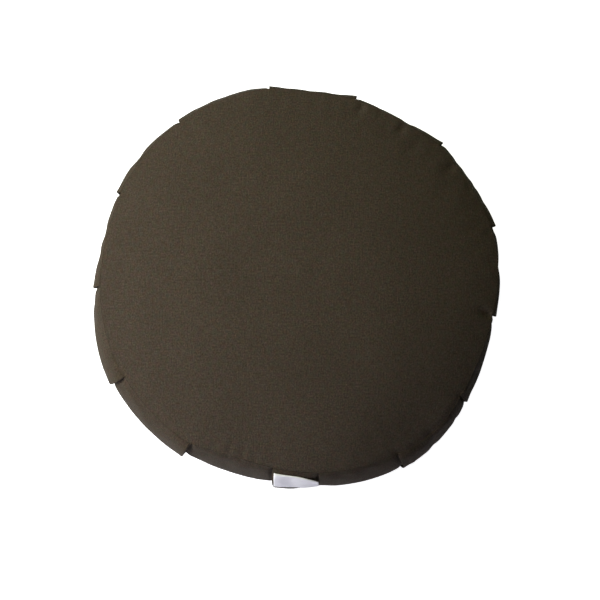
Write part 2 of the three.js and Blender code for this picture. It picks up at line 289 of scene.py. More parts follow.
def cloth(segment, share):
    """How the band stands at a share of the way from a fold to the next, without the folds' steps."""
    after = NEXT_FOLD[segment]
    return {
        "angle": FOLD["angle"][segment] + SPAN[segment] * share,
        "lean": mix(FOLD["lean"][segment], FOLD["lean"][after], share),
        "seam": parabola(FOLD["seam"][segment], FOLD["seam_mid"][segment], FOLD["seam"][after], share),
        "belly": parabola(FOLD_MEAN[segment], FOLD["belly"][segment], FOLD_MEAN[after], share),
    }


def cloth_at(angle):
    """The same for the cloth that stands at any angle at the belly."""
    turned = (np.asarray(angle, float) - FOLD["angle"][0]) % 360
    starts = FOLD["angle"] - FOLD["angle"][0]
    segment = np.searchsorted(starts, turned, side="right") - 1
    found = cloth(segment, (turned - starts[segment]) / SPAN[segment])
    found["angle"] = np.asarray(angle, float)
    return found


def step_lift(fold, share):
    """How far the cloth between two folds stands off its mean, so that it meets the steps of both."""
    after = NEXT_FOLD[fold]
    leaving = -FOLD["faces"][fold] * STEP[fold] / 2
    arriving = FOLD["faces"][after] * STEP[after] / 2
    return leaving * (1 - share) ** STEP_FADE + arriving * share**STEP_FADE


def top_seam_height(seam):
    return TOP_SEAM_Z - SEAM_DROP * (seam - SEAM_RADIUS)


def base_seam_radius(seam):
    """The base seam's radius under a top seam's: it is half as uneven."""
    return BASE_SEAM_RADIUS + (seam - SEAM_RADIUS) / 2


def seam_radius_at(angle):
    """The top seam's radius at an angle, from the cloth that leans to there."""
    belly_angle = np.linspace(-20, 380, 4001)  # past both ends of the turn, because the cloth leans
    found = cloth_at(belly_angle)
    return np.interp(np.asarray(angle) % 360, belly_angle + found["lean"], found["seam"])


def crown_height(radius, seam):
    share = np.clip(1 - (radius / seam) ** CROWN_FULLNESS, 0, 1)
    return mix(top_seam_height(seam), CROWN_Z, share)


def base_height(radius, seam):
    reach = np.clip((radius - REST_RADIUS) / (base_seam_radius(seam) - REST_RADIUS), 0, None)
    return BASE_SEAM_Z * reach**BASE_CURVE


def side_height(side, radius, seam):
    return crown_height(radius, seam) if side == "top" else base_height(radius, seam)


def side_edge(side, seam):
    return seam if side == "top" else base_seam_radius(seam)


def wall_profile(column, profile):
    """Radius and height of the band's wall. The profile is 90 at the top seam and -90 at the base seam."""
    upper = profile >= 0
    seam_radius = np.where(upper, column["seam"], base_seam_radius(column["seam"]))
    seam_z = np.where(upper, top_seam_height(column["seam"]), BASE_SEAM_Z)
    rise = np.abs(np.sin(np.radians(profile * WALL_TURN / 90)))
    most_rise = math.sin(math.radians(WALL_TURN))
    least_width = math.sqrt(1 - most_rise**WALL_FULLNESS)
    bulge = (np.sqrt(1 - rise**WALL_FULLNESS) - least_width) / (1 - least_width)
    radius = mix(seam_radius + SEAM_ROUND, column["belly"], bulge)
    return radius, mix(BELLY_Z, seam_z, rise / most_rise)


def wall_normal(column, profile):
    """Outward and upward shares of the wall's normal, from the profile half a degree to each side."""
    reach = 0.5
    radius_up, z_up = wall_profile(column, np.minimum(profile + reach, 90))
    radius_down, z_down = wall_profile(column, np.maximum(profile - reach, -90))
    length = np.hypot(radius_up - radius_down, z_up - z_down)
    return (z_up - z_down) / length, (radius_down - radius_up) / length


def wall_distance(profile):
    """How far down the band from the top seam a profile angle lies, on a mean section."""
    mean = {"seam": SEAM_RADIUS, "belly": FOLD["belly"].mean()}
    steps = np.linspace(90, -90, 361)  # half a degree apart
    down = lengths_along(np.stack(wall_profile(mean, steps), axis=-1))
    return np.interp(-profile, -steps, down)


def fold_opening(profile):
    """How far a fold stands open at a profile angle, as a share of its step."""
    from_seam = 90 - np.abs(profile)
    beside_seam = SEAM_OPENING * smooth(from_seam / SEAM_OPENING_REACH)
    return beside_seam + (1 - SEAM_OPENING) * smooth(from_seam / FOLD_REACH)


def strained(angle):
    """How far the top seam is strained open at an angle: 1 at the front, and 0 round the back."""
    return bell(angle_between(angle, STRAIN_ANGLE), STRAIN_SPAN)


def seam_gap(angle):
    return SEAM_GAP + SEAM_GAP_STRAINED * strained(angle)


def drawn_in(angle, distance, radius, reach):
    """How deep the cloth lies under its smooth shape near the top seam: at an angle, a distance from the
    seam, and a radius. The reach is "inward" over the panel and "outward" over the band."""
    angle, distance = np.broadcast_arrays(angle, distance)
    most = SEAM_DRAW + SEAM_DRAW_STRAINED * strained(angle)
    most = most + SEAM_DRAW_MOST * bell(angle_between(angle, SEAM_DRAW_ANGLE), SEAM_DRAW_SPAN)
    total = most * bell(distance, SEAM_DRAW_WIDTH)
    for pucker in range(len(PUCKER_ROWS)):
        at = {name: values[pucker] for name, values in PUCKER.items()}
        way = distance / at[reach]
        slant = math.tan(math.radians(at["slant"])) * distance * (1 if reach == "inward" else -1)
        beside = np.radians(angle_between(angle, at["angle"])) * radius - slant
        width = at["width"] * (PUCKER_START_WIDTH + PUCKER_WIDENING * np.minimum(way, 1))
        along = (PUCKER_START + (1 - PUCKER_START) * smooth(way / PUCKER_RISE)) * (1 - smooth(way))
        total = total + at["depth"] * along * bell(beside, width)
    return total


def dented(angle, radius):
    """How deep the crown lies under its smooth form in its broad dents."""
    at = (radius * np.exp(1j * np.radians(angle)))[..., None]
    return (DENT["depth"] * bell(np.abs(at - DENT_CENTRE), DENT["size"])).sum(axis=-1)


def wall_points(column, profile, fields):
    """Points of the band's face, rows of the profile by columns, puffed by the simulated field."""
    profile = np.asarray(profile, float)[:, None]
    radius, z = wall_profile(column, profile)
    outward, upward = wall_normal(column, profile)
    opening = fold_opening(profile)
    lift = column["lift"] * opening
    gather = column["gather"] * (1 - opening)
    rise = np.sin(np.radians(profile))
    lean = column["lean"] * rise * np.where(profile >= 0, 1, BASE_LEAN)
    turn = np.radians(column["angle"] + lean) + gather / radius
    angle = np.degrees(turn)
    lift = lift - drawn_in(angle, wall_distance(profile), radius, "outward")
    sinking = dented(angle, SEAM_RADIUS) * smooth(profile / DENT_FADE)
    points = polar(radius + lift * outward, turn, z + lift * upward - sinking)
    return points + fields.wall(column["angle"], profile)


def side_rings(fields, side, angle, seam, radii, sink):
    """Rings of points on one side of the cushion, sunk inwards from its face: a row of radii for each."""
    inward = -1 if side == "top" else 1
    z = side_height(side, radii, seam) + inward * sink
    turn = np.radians(angle)
    if side == "base":
        return polar(radii, turn, z)
    z = z - drawn_in(angle, seam - radii, radii, "inward") - dented(angle, radii)
    return polar(radii, turn, z) + fields.top(radii / seam, angle)


def fold_section():
    """The section of a fold. For each column: where it stands when the fold is closed and when it is
    open, and how deep, as shares of the lip, of the rest of the step and of the tuck."""
    section = [(along, 0, 0, 0) for along in LIP_BEHIND]
    for step in range(LIP_STEPS + 1):
        turn = math.pi * step / LIP_STEPS
        section.append((-LIP_THICKNESS / 2 * (1 - math.sin(turn)), (1 - math.cos(turn)) / 2, 0, 0))
    section += [(share * SLOT_DEPTH, 1, depth, tuck) for share, depth, tuck in SLOT_ROWS]
    section.append((SLOT_MOUTH, 1, SLOT_MOUTH_DEPTH, 1))
    section += [(along, 1, 1, bell(along, TUCK_REACH)) for along in SLOT_AHEAD]
    closed = np.linspace(-FOLD_CLOSED, FOLD_CLOSED, len(section))
    return [(place, *row) for place, row in zip(closed, section)]


def band_columns():
    """Every column of the band, counter-clockwise: each fold's section, then the cloth to the next.
    A fold that faces the other way has its section backwards."""
    rows = []
    for fold in range(FOLDS):
        faces = int(FOLD["faces"][fold])
        lip = min(LIP_THICKNESS, LIP_SHARE * STEP[fold])
        for closed, opened, lip_share, slot_share, tuck in fold_section()[::faces]:
            offset = faces * opened
            segment = fold if offset >= 0 else fold - 1
            share = abs(offset) / WIDTH[segment]
            depth = lip * lip_share + (STEP[fold] - lip) * slot_share
            lift = (STEP[fold] / 2 - depth) * (1 - share) ** STEP_FADE - tuck * TUCK_DEPTH
            rows.append((segment % FOLDS, share if offset >= 0 else 1 - share, faces * closed - offset, lift))
        margin = FACE_MARGIN / WIDTH[fold]
        for share in np.linspace(margin, 1 - margin, FACE_STEPS):
            tuck = bell(share * WIDTH[fold], TUCK_REACH) if faces > 0 else 0
            if FOLD["faces"][NEXT_FOLD[fold]] < 0:
                tuck += bell((1 - share) * WIDTH[fold], TUCK_REACH)
            rows.append((fold, share, 0, step_lift(fold, share) - tuck * TUCK_DEPTH))
    segment, share, gather, lift = (np.array(values) for values in zip(*rows))
    column = cloth(segment.astype(int), share)
    first = column["angle"][0]
    column["angle"] = first + (column["angle"] - first + 1) % 360 - 1  # so that they never step back a turn
    return {**column, "gather": gather, "lift": lift}


# --- cloth simulation -----------------------------------------------------------------------------

HULL_COLUMNS = 252
HULL_WALL_ROWS = 15  # from a seam to the belly
HULL_PANEL_ROWS = 30
HULL_PANEL_CROWDING = 1.25
HULL_PANEL_REACH = 0.98  # how far in from the seam its rows go, as a share of its radius
SETTLE_FRAMES = 20
PRESSURE = 4
PANEL_EASE = 0.015  # how much more cloth a panel has at its seam than it needs
BAND_EASE = 0.007
PUCKER_SHARE = 0.8  # the ease of a panel begins at this share of its radius and grows to the seam
FOLD_HOLD = 0.7  # how firmly a fold holds the cloth beside it
FOLD_HOLD_SPAN = 3  # and over how many degrees to each side
RIPPLE = 0.15 * MM  # the size of the waves that the cloth starts from
RIPPLE_COUNTS = np.arange(16, 64)  # how many of each wave go round the cushion
RIPPLE_LEAST = 0.3  # the weakest of these waves, as a share of the strongest
SEED = 11
MOVE_CAP = 3 * MM
CALM = 0.3  # the share of its simulated moves that the top panel keeps where it is calmest
UNEVEN = 0.5  # the share of the rest that it keeps where it is the most uneven
UNEVEN_ANGLE = 40  # where that is
UNEVEN_SPAN = 55  # and over how many degrees to each side


def settle(name, start, flip, pins, ease, most_ease):
    """Lets a grid of cloth settle from its start and returns its points. Pins and ease are shares for
    each point: how firmly it is held, and how much of the most ease the cloth has there. They are
    rounded by the caller, because the points of each share are weighted in one go."""
    mesh = bpy.data.meshes.new(name)
    mesh.from_pydata(start.reshape(-1, 3).tolist(), [], grid_faces(*start.shape[:2], flip))
    obj = add_object(name, mesh)
    for group_name, shares in (("pins", pins.ravel()), ("tight", 1 - ease.ravel())):
        group = obj.vertex_groups.new(name=group_name)
        for share in np.unique(shares):
            group.add(np.flatnonzero(shares == share).tolist(), float(share), "REPLACE")
    modifier = obj.modifiers.new("cloth", "CLOTH")
    settings = modifier.settings
    settings.quality = 6
    settings.mass = 0.05
    settings.tension_stiffness = 60
    settings.compression_stiffness = 30
    settings.shear_stiffness = 12
    settings.bending_stiffness = 0.3
    settings.tension_damping = 8
    settings.compression_damping = 8
    settings.shear_damping = 8
    settings.air_damping = 3
    settings.vertex_group_shrink = "tight"
    settings.shrink_min = -most_ease  # where the group is 0
    settings.shrink_max = 0
    settings.vertex_group_mass = "pins"
    settings.use_pressure = True
    settings.uniform_pressure_force = PRESSURE
    settings.effector_weights.gravity = 0
    modifier.collision_settings.use_collision = False
    modifier.point_cache.frame_start = 1
    modifier.point_cache.frame_end = SETTLE_FRAMES
    scene = bpy.context.scene
    for number in range(1, SETTLE_FRAMES + 1):
        scene.frame_set(number)
    settled = obj.evaluated_get(bpy.context.evaluated_depsgraph_get()).to_mesh()
    points = np.zeros(start.size, np.float32)
    settled.vertices.foreach_get("co", points)
    bpy.data.objects.remove(obj)
    bpy.data.meshes.remove(mesh)
    scene.frame_set(1)
    return points.reshape(start.shape).astype(float)


def capped(move, cap):
    """The move, with its length brought smoothly under the cap."""
    length = np.linalg.norm(move, axis=-1, keepdims=True)
    return move * np.tanh(length / cap) * cap / np.maximum(length, 1e-9)


def smoothed(field):
    """The field with the finest unevenness between neighbours taken out."""
    around = (np.roll(field, 1, axis=1) + 2 * field + np.roll(field, -1, axis=1)) / 4
    down = around.copy()
    down[1:-1] = (around[:-2] + 2 * around[1:-1] + around[2:]) / 4
    return down


def cubic(field, row, column):
    """Catmull-Rom values of a field that is periodic in its columns, at fractional rows and columns."""
    def weights(part):
        return np.stack(
            [
                ((-part + 2) * part - 1) * part / 2,
                ((3 * part - 5) * part * part + 2) / 2,
                ((-3 * part + 4) * part + 1) * part / 2,
                ((part - 1) * part * part) / 2,
            ]
        )

    row, column = np.broadcast_arrays(row, column)
    row_floor, column_floor = np.floor(row).astype(int), np.floor(column).astype(int)
    row_weights, column_weights = weights(row - row_floor), weights(column - column_floor)
    total = np.zeros(row.shape + field.shape[2:])
    for i in range(4):
        at_row = np.clip(row_floor + i - 1, 0, field.shape[0] - 1)
        for j in range(4):
            at_column = (column_floor + j - 1) % field.shape[1]
            total += (row_weights[i] * column_weights[j])[..., None] * field[at_row, at_column]
    return total


def ripples(angles, seed):
    """A smooth uneven wave round the cushion, from -1 to 1 or so."""
    rng = np.random.default_rng(seed)
    phases = rng.uniform(0, 2 * np.pi, len(RIPPLE_COUNTS))
    sizes = rng.uniform(RIPPLE_LEAST, 1, len(RIPPLE_COUNTS)) / math.sqrt(len(RIPPLE_COUNTS) / 3)
    return (sizes * np.sin(np.radians(angles)[:, None] * RIPPLE_COUNTS + phases)).sum(axis=1)


class Fields:
    """How far the simulation moves the cloth, over the wall and over the top panel."""

    def __init__(self):
        self.angles = np.arange(HULL_COLUMNS) * 360 / HULL_COLUMNS
        self.profiles = wall_profiles(HULL_WALL_ROWS)
        self.shares = 1 - HULL_PANEL_REACH * seam_spaced(HULL_PANEL_ROWS, HULL_PANEL_CROWDING)
        self.wall_moves = np.zeros((len(self.profiles), HULL_COLUMNS, 3))
        self.top_moves = np.zeros((HULL_PANEL_ROWS, HULL_COLUMNS, 3))

    def wall(self, angle, profile):
        row = np.interp(-profile, -self.profiles, np.arange(len(self.profiles)))
        return cubic(self.wall_moves, row, np.asarray(angle) * HULL_COLUMNS / 360)

    def top(self, share, angle):
        row = np.interp(-share, -self.shares, np.arange(HULL_PANEL_ROWS))
        moves = cubic(self.top_moves, row, np.asarray(angle) * HULL_COLUMNS / 360)
        uneven = UNEVEN * bell(angle_between(np.asarray(angle), UNEVEN_ANGLE), UNEVEN_SPAN)
        return moves * mix(CALM, 1, uneven)[..., None]


def settle_top(fields):
    """How far the top panel moves as it settles, from its smooth crown."""
    shares = fields.shares[:, None]
    seam = seam_radius_at(fields.angles)
    radius = shares * seam
    start = polar(radius, np.radians(fields.angles), crown_height(radius, seam))
    near_seam = smooth((shares - PUCKER_SHARE) / (1 - PUCKER_SHARE))
    swell = 4 * near_seam * (1 - near_seam)  # 1 half-way into the eased cloth, 0 at both its edges
    seeded = start.copy()
    seeded[..., 2] += ripples(fields.angles, SEED) * swell * RIPPLE
    pins = np.zeros(start.shape[:2])
    pins[0] = 1
    ease = np.round(np.broadcast_to(near_seam, pins.shape), 2)
    settled = settle("settling_top", seeded, flip=True, pins=pins, ease=ease, most_ease=PANEL_EASE)
    return settled - start


def settle_wall(fields):
    """How far the band moves as it settles, from its smooth wall."""
    column = {**cloth_at(fields.angles), "lift": 0, "gather": 0}
    start = wall_points(column, fields.profiles, fields)
    turn = np.radians(fields.angles)
    outwards = polar(1, turn, np.zeros_like(turn))
    upper = ripples(fields.angles, SEED + 1)
    lower = ripples(fields.angles, SEED + 2)
    half = np.abs(np.sin(2 * np.radians(fields.profiles)))[:, None]
    waves = np.where(fields.profiles[:, None] >= 0, upper, lower) * half
    seeded = start + (waves * RIPPLE)[..., None] * outwards
    nearest = np.abs(angle_between(fields.angles[:, None], FOLD["angle"])).min(axis=1)
    held = np.round(FOLD_HOLD * bell(nearest, FOLD_HOLD_SPAN), 2)
    pins = np.tile(held, (len(fields.profiles), 1))
    pins[[0, -1]] = 1
    ease = np.ones(pins.shape)
    settled = settle("settling_wall", seeded, flip=False, pins=pins, ease=ease, most_ease=BAND_EASE)
    return settled - start


# --- the pieces -----------------------------------------------------------------------------------


def make_mesh(name, points, faces, face_uvs, material):
    """A smooth mesh. The face uvs are arrays that follow each other, with a row for each face's corner."""
    mesh = bpy.data.meshes.new(name)
    mesh.from_pydata(points.tolist(), [], faces)
    layer = mesh.uv_layers.new(name=UV_MAP)
    layer.data.foreach_set("uv", np.concatenate(face_uvs).astype(np.float32).ravel())
    mesh.polygons.foreach_set("use_smooth", np.ones(len(mesh.polygons), bool))
    mesh.materials.append(material)
    mesh.update()
    return add_object(name, mesh)


def closed_rings(name, rings, uvs, material):
    """A closed body of rings of points, each joined to the next, and each end ring to its middle.
    The uvs have one column more than the rings, because each ring closes on itself."""
    rows, columns = rings.shape[:2]
    row, column = np.divmod(np.arange((rows - 1) * columns), columns)
    corners = ((row, column), (row + 1, column), (row + 1, column + 1), (row, column + 1))
    quad_uvs = np.stack([uvs[corner] for corner in corners], axis=1)
    points = np.concatenate([rings.reshape(-1, 3), rings[[0, -1]].mean(axis=1)])
    here = np.arange(columns)
    after = (here + 1) % columns
    last = (rows - 1) * columns
    first_fan = np.stack([np.full(columns, rows * columns), here, after], axis=1)
    last_fan = np.stack([np.full(columns, rows * columns + 1), last + after, last + here], axis=1)
    middles = uvs[[0, -1], :-1].mean(axis=1)
    first_uvs = np.stack([np.broadcast_to(middles[0], (columns, 2)), uvs[0, :-1], uvs[0, 1:]], axis=1)
    last_uvs = np.stack([np.broadcast_to(middles[1], (columns, 2)), uvs[-1, 1:], uvs[-1, :-1]], axis=1)
    faces = grid_faces(rows, columns) + first_fan.tolist() + last_fan.tolist()
    face_uvs = [part.reshape(-1, 2) for part in (quad_uvs, first_uvs, last_uvs)]
    return make_mesh(name, points, faces, face_uvs, material)


def turned_in(fields, side, end):
    """Rings that take the band's cloth from its end round into a seam, and on under the panel."""
    inward = -1 if side == "top" else 1
    angle = np.degrees(np.arctan2(end[:, 1], end[:, 0]))
    radius = np.hypot(end[:, 0], end[:, 1])
    rings = []
    for turn in QUARTER_TURNS:
        ring = end.copy()
        ring[:, :2] *= ((radius - SEAM_ROUND * math.sin(turn)) / radius)[:, None]
        ring[:, 2] += inward * SEAM_ROUND * (1 - math.cos(turn))
        rings.append(ring)
    edge = radius - SEAM_ROUND
    top_seam_above = SEAM_RADIUS + 2 * (edge - BASE_SEAM_RADIUS)
    seam = edge if side == "top" else top_seam_above
    under = side_rings(fields, side, angle, seam, BACK_SHARES * edge, PANEL_THICKNESS + GAP)
    return np.concatenate([np.stack(rings), under])


def make_band(fields, material):
    """The filled body: the pleated wall, turned in at both seams, and the faces under the two panels."""
    profiles = wall_profiles(WALL_ROWS)
    wall = wall_points(band_columns(), profiles, fields)
    top_rings = turned_in(fields, "top", wall[0])[::-1]
    rings = np.concatenate([top_rings, wall, turned_in(fields, "base", wall[-1])])
    belly = wall[len(profiles) // 2]
    around = lengths_along(np.concatenate([belly, belly[:1]]))
    down = lengths_along(rings[:, 0])
    uvs = np.stack(np.broadcast_arrays(around[None, :], down[:, None]), axis=-1)
    return closed_rings("band_cloth", rings, uvs, material)


def make_panel(fields, side, material):
    """A panel: a sheet of one thickness over the crown or the base, turned down into its seam."""
    angle = np.arange(PANEL_COLUMNS) * 360 / PANEL_COLUMNS
    seam = seam_radius_at(angle)
    rim = side_edge(side, seam) - seam_gap(angle)
    face_radii = (rim - PANEL_ROUND) * (1 - PANEL_REACH * seam_spaced(PANEL_ROWS, PANEL_CROWDING)[:, None])
    face = side_rings(fields, side, angle, seam, face_radii, 0)[::-1]
    turned = []
    for turn in QUARTER_TURNS:
        radii = (rim - PANEL_ROUND * (1 - math.sin(turn)))[None, :]
        turned.append(side_rings(fields, side, angle, seam, radii, PANEL_ROUND * (1 - math.cos(turn)))[0])
    back = side_rings(fields, side, angle, seam, BACK_SHARES * rim, PANEL_THICKNESS)
    rings = np.concatenate([face, np.stack(turned), back])
    from_middle = face_radii[-1:] + lengths_along(face)
    flat_edge = from_middle[-1]
    beyond = flat_edge + PANEL_ROUND * QUARTER_TURNS[:, None]
    flat = np.concatenate([from_middle, beyond, flat_edge * BACK_SHARES])
    if side == "base":
        rings = rings[::-1]
        flat = flat[::-1]
    turn = np.radians(angle)
    uvs = np.stack([flat * np.cos(turn), flat * np.sin(turn)], axis=-1)
    uvs = np.concatenate([uvs, uvs[:, :1]], axis=1)
    piece = closed_rings(f"{side}_cloth", rings, uvs, material)
    piece["flat_radius"] = float(flat_edge.mean() + PANEL_ROUND)
    return piece


# --- the label ------------------------------------------------------------------------------------

LABEL_FOLD = 9  # it lies between this fold and the next
LABEL_ROWS = 14
LABEL_COLUMNS = 44
LABEL_HEIGHT = 19 * MM
LABEL_THICKNESS = 0.7 * MM
LABEL_TOP = 4.2 * MM  # from the top seam down the band to its top edge
LABEL_DROP = 7 * MM  # how much lower its right end hangs
LABEL_LIFT = 2.5 * MM  # how far its right end stands off the band
LABEL_CURL = 4  # how sharply the drop and the lift come in towards that end
LABEL_FLARE = 1.5 * MM  # how far its lower edge stands off the band
LABEL_INSET = 1.6 * MM  # from the fold at its left end
LABEL_TUCK = 0.9 * MM  # from the fold at its right end
LABEL_PROFILES = np.linspace(90, -60, 600)  # the stretch of the band that it is laid on


def label_surface(fields, shares, distances):
    """Points of the band under the label: a share of the way between two folds, and a distance down."""
    column = cloth(np.full(len(shares), LABEL_FOLD), shares)
    column["lift"] = step_lift(LABEL_FOLD, shares)
    column["gather"] = np.zeros(len(shares))
    wall = wall_points(column, LABEL_PROFILES, fields)
    down = lengths_along(wall)
    surface = np.zeros((*distances.shape, 3))
    for index in range(len(shares)):
        for axis in range(3):
            surface[:, index, axis] = np.interp(distances[:, index], down[:, index], wall[:, index, axis])
    return surface


def make_label(fields, material):
    """The label: a thin tape that lies along the band, with its right end and its lower edge lifted."""
    across = np.linspace(0, 1, LABEL_COLUMNS)
    shares = mix(LABEL_INSET / WIDTH[LABEL_FOLD], 1 - LABEL_TUCK / WIDTH[LABEL_FOLD], across)
    down = np.linspace(0, 1, LABEL_ROWS)[:, None]
    curl = across[None, :] ** LABEL_CURL
    surface = label_surface(fields, shares, LABEL_TOP + LABEL_HEIGHT * down + LABEL_DROP * curl)
    normal = np.cross(np.gradient(surface, axis=0), np.gradient(surface, axis=1))
    normal /= np.linalg.norm(normal, axis=-1, keepdims=True)
    stand_off = GAP + LABEL_LIFT * curl + LABEL_FLARE * down**2 * (1 - curl)
    back = surface + normal * stand_off[..., None]
    front = back + normal * LABEL_THICKNESS
    points = np.concatenate([back.reshape(-1, 3), front.reshape(-1, 3)])
    flat = np.stack(np.broadcast_arrays(across * WIDTH[LABEL_FOLD], -down * LABEL_HEIGHT), axis=-1)
    uvs = np.tile(flat.reshape(-1, 2), (2, 1))
    index = np.arange(LABEL_ROWS * LABEL_COLUMNS).reshape(LABEL_ROWS, LABEL_COLUMNS)
    corners = (index[:-1, :-1], index[:-1, 1:], index[1:, 1:], index[1:, :-1])
    back_faces = np.stack(corners, axis=-1).reshape(-1, 4)
    front_faces = back_faces[:, ::-1] + index.size
    rim = np.array([*index[0, :-1], *index[:-1, -1], *index[-1, :0:-1], *index[:0:-1, 0]])
    rim_after = np.roll(rim, -1)
    rim_faces = np.stack([rim, rim + index.size, rim_after + index.size, rim_after], axis=-1)
    faces = np.concatenate([back_faces, front_faces, rim_faces])
    return make_mesh("label_cloth", points, faces.tolist(), [uvs[faces.ravel()]], material)


# --- materials ------------------------------------------------------------------------------------

# cotton, with lengths in mm
PANEL_COLOUR = (0.0572, 0.0435, 0.0308)
# the band is the same cotton as the panels, made darker: painted shade against the key light that falls full
# on it
BAND_SHADED_COLOUR = (0.0500, 0.0372, 0.0244)
YARN_PITCH = 0.62  # from a yarn to the next
YARN_ROUNDNESS = 0.6  # less is flatter on top, with narrower gaps
# painted shade in the gaps between the yarns, and a little painted light on their tops
YARN_SHADE = (0.74, 1.1)  # the colour's factor in the gaps and on the yarns
YARN_RELIEF = 0.1
NOISE_SPREAD = (0.3, 0.7)  # where most of a noise's values lie
SPECK_SPREAD = (0.64, 0.8)  # the values of a noise that light specks grow over
SPECK_SHADE = 1.45
COTTON_BUMP = 0.8

# tape, with pitches in mm
TAPE_COLOUR = (0.97, 0.97, 0.96)
RIB_PITCH = 0.45
THREAD_PITCH = 0.3
THREAD_SHARE = 0.4  # how high the threads stand, as a share of the ribs
# painted shade between the ribs
TAPE_SHADE = (0.93, 1.02)  # the colour's factor between the ribs and on them
TAPE_RELIEF = 0.06
TAPE_BUMP = 0.6


class Shader:
    """Builds one material's nodes."""

    def __init__(self, name, **sockets):
        self.material = bpy.data.materials.new(name)
        self.material.use_nodes = True
        self.tree = self.material.node_tree
        self.principled = self.tree.nodes["Principled BSDF"]
        for socket, value in sockets.items():
            self.principled.inputs[socket.replace("_", " ")].default_value = value

    def node(self, kind, values=(), **settings):
        made = self.tree.nodes.new(kind)
        for name, value in settings.items():
            setattr(made, name, value)
        for socket, value in dict(values).items():
            self.put(made.inputs[socket], value)
        return made

    def put(self, socket, value):
        if isinstance(value, bpy.types.NodeSocket):
            self.tree.links.new(value, socket)
        else:
            socket.default_value = value

    def math(self, operation, *values):
        made = self.node("ShaderNodeMath", operation=operation)
        for socket, value in zip(made.inputs, values):
            self.put(socket, value)
        return made.outputs[0]

    def ramp(self, value, low, high, to_low, to_high):
        values = {"Value": value, "From Min": low, "From Max": high, "To Min": to_low, "To Max": to_high}
        return self.node("ShaderNodeMapRange", values).outputs[0]

    def around_one(self, noise, share):
        """A noise as a factor that goes this share below and above one."""
        return self.ramp(noise, *NOISE_SPREAD, 1 - share, 1 + share)

    def times(self, vector, other):
        return self.node("ShaderNodeVectorMath", {0: vector, 1: other}, operation="MULTIPLY").outputs[0]

    def scaled(self, vector, factor):
        return self.node("ShaderNodeVectorMath", {0: vector, "Scale": factor}, operation="SCALE").outputs[0]

    def flat_place(self):
        """A point's place on the flat cloth in mm, and its two axes: the uv map is in metres."""
        place = self.times(self.node("ShaderNodeUVMap", uv_map=UV_MAP).outputs[0], (1 / MM, 1 / MM, 1 / MM))
        axes = self.node("ShaderNodeSeparateXYZ", {"Vector": place}).outputs
        return place, axes[0], axes[1]

    def wave(self, axis, length):
        return self.math("SINE", self.math("MULTIPLY", axis, 2 * math.pi / length))

    def spots(self, place, size, detail, start):
        """A noise with spots of a size across and along the cloth."""
        scale = (1 / size[0], 1 / size[1], 1)
        moved = self.node("ShaderNodeMapping", {"Vector": place, "Scale": scale, "Location": start})
        values = {"Vector": moved.outputs[0], "Scale": 1.0, "Detail": detail}
        return self.node("ShaderNodeTexNoise", values).outputs["Fac"]

    def surface(self, colour, height, distance, strength):
        """Gives the material its colour and its relief."""
        bump = self.node("ShaderNodeBump", {"Height": height, "Distance": distance, "Strength": strength})
        self.put(self.principled.inputs["Base Color"], colour)
        self.put(self.principled.inputs["Normal"], bump.outputs[0])
        return self.material


def cotton(name, colour, seed):
    """Plain-woven, slightly slubby cotton, with the warp along the uv map's second axis."""
    shader = Shader(name, Roughness=0.9, Sheen_Weight=0.04, Sheen_Roughness=0.5, Specular_IOR_Level=0.1)
    place, across, along = shader.flat_place()
    yarns = [shader.wave(axis, 2 * YARN_PITCH) for axis in (across, along)]
    crossing = shader.math("MULTIPLY", *yarns)
    yarn = shader.math("POWER", shader.math("ABSOLUTE", crossing), YARN_ROUNDNESS)
    warp_slub = shader.spots(place, size=(1.1, 9.0), detail=3, start=(seed, 0, 0))
    weft_slub = shader.spots(place, size=(7.0, 1.0), detail=3, start=(0, seed, 5))
    fleck = shader.spots(place, size=(1.3, 1.6), detail=2, start=(seed, 3, 2))
    broad = shader.spots(place, size=(38, 55), detail=2, start=(seed, seed, 9))
    red = shader.spots(place, size=(4.2, 5.2), detail=2, start=(seed, 7, 20))
    blue = shader.spots(place, size=(4.8, 4.6), detail=2, start=(seed, 9, 40))
    speck = shader.spots(place, size=(1.5, 1.5), detail=1, start=(7, seed, 60))

    # the weave's painted shade in its gaps, times the cloth's own slubs, flecks, broad tone and light specks
    shade = shader.ramp(yarn, 0, 1, *YARN_SHADE)
    for noise, share in ((warp_slub, 0.12), (weft_slub, 0.1), (fleck, 0.3), (broad, 0.05)):
        shade = shader.math("MULTIPLY", shade, shader.around_one(noise, share))
    shade = shader.math("MULTIPLY", shade, shader.ramp(speck, *SPECK_SPREAD, 1, SPECK_SHADE))
    dyes = (("X", red, 0.09), ("Y", red, -0.05), ("Z", blue, 0.11))  # redder cloth is also less green
    dye = {axis: shader.around_one(noise, share) for axis, noise, share in dyes}
    dyed = shader.times(colour, shader.node("ShaderNodeCombineXYZ", dye).outputs[0])

    height = shader.math("MULTIPLY", yarn, YARN_RELIEF)
    for noise, relief in ((warp_slub, 0.1), (weft_slub, 0.06), (fleck, 0.08)):
        height = shader.math("ADD", height, shader.math("MULTIPLY", noise, relief))
    return shader.surface(shader.scaled(dyed, shade), height, MM, COTTON_BUMP)


def tape(name):
    """Finely woven white tape with ribs along its length."""
    shader = Shader(name, Roughness=0.62, Sheen_Weight=0.1, Specular_IOR_Level=0.3)
    _, along, down = shader.flat_place()
    ribs = shader.ramp(shader.wave(down, RIB_PITCH), -1, 1, 0, 1)
    threads = shader.ramp(shader.wave(along, THREAD_PITCH), -1, 1, 0, THREAD_SHARE)
    height = shader.math("ADD", ribs, threads)
    # painted shade between the ribs and threads
    shade = shader.ramp(height, 0, 1 + THREAD_SHARE, *TAPE_SHADE)
    return shader.surface(shader.scaled(TAPE_COLOUR, shade), height, TAPE_RELIEF * MM, TAPE_BUMP)


# --- stage ----------------------------------------------------------------------------------------

VIEW_AZIMUTH = -90
VIEW_ELEVATION = 82
VIEW_DISTANCE = 1.4
VIEW_SPAN = 0.5395  # what the picture shows from side to side at that distance
LOOK_AT = (0.0032, -0.0107, 0.07)

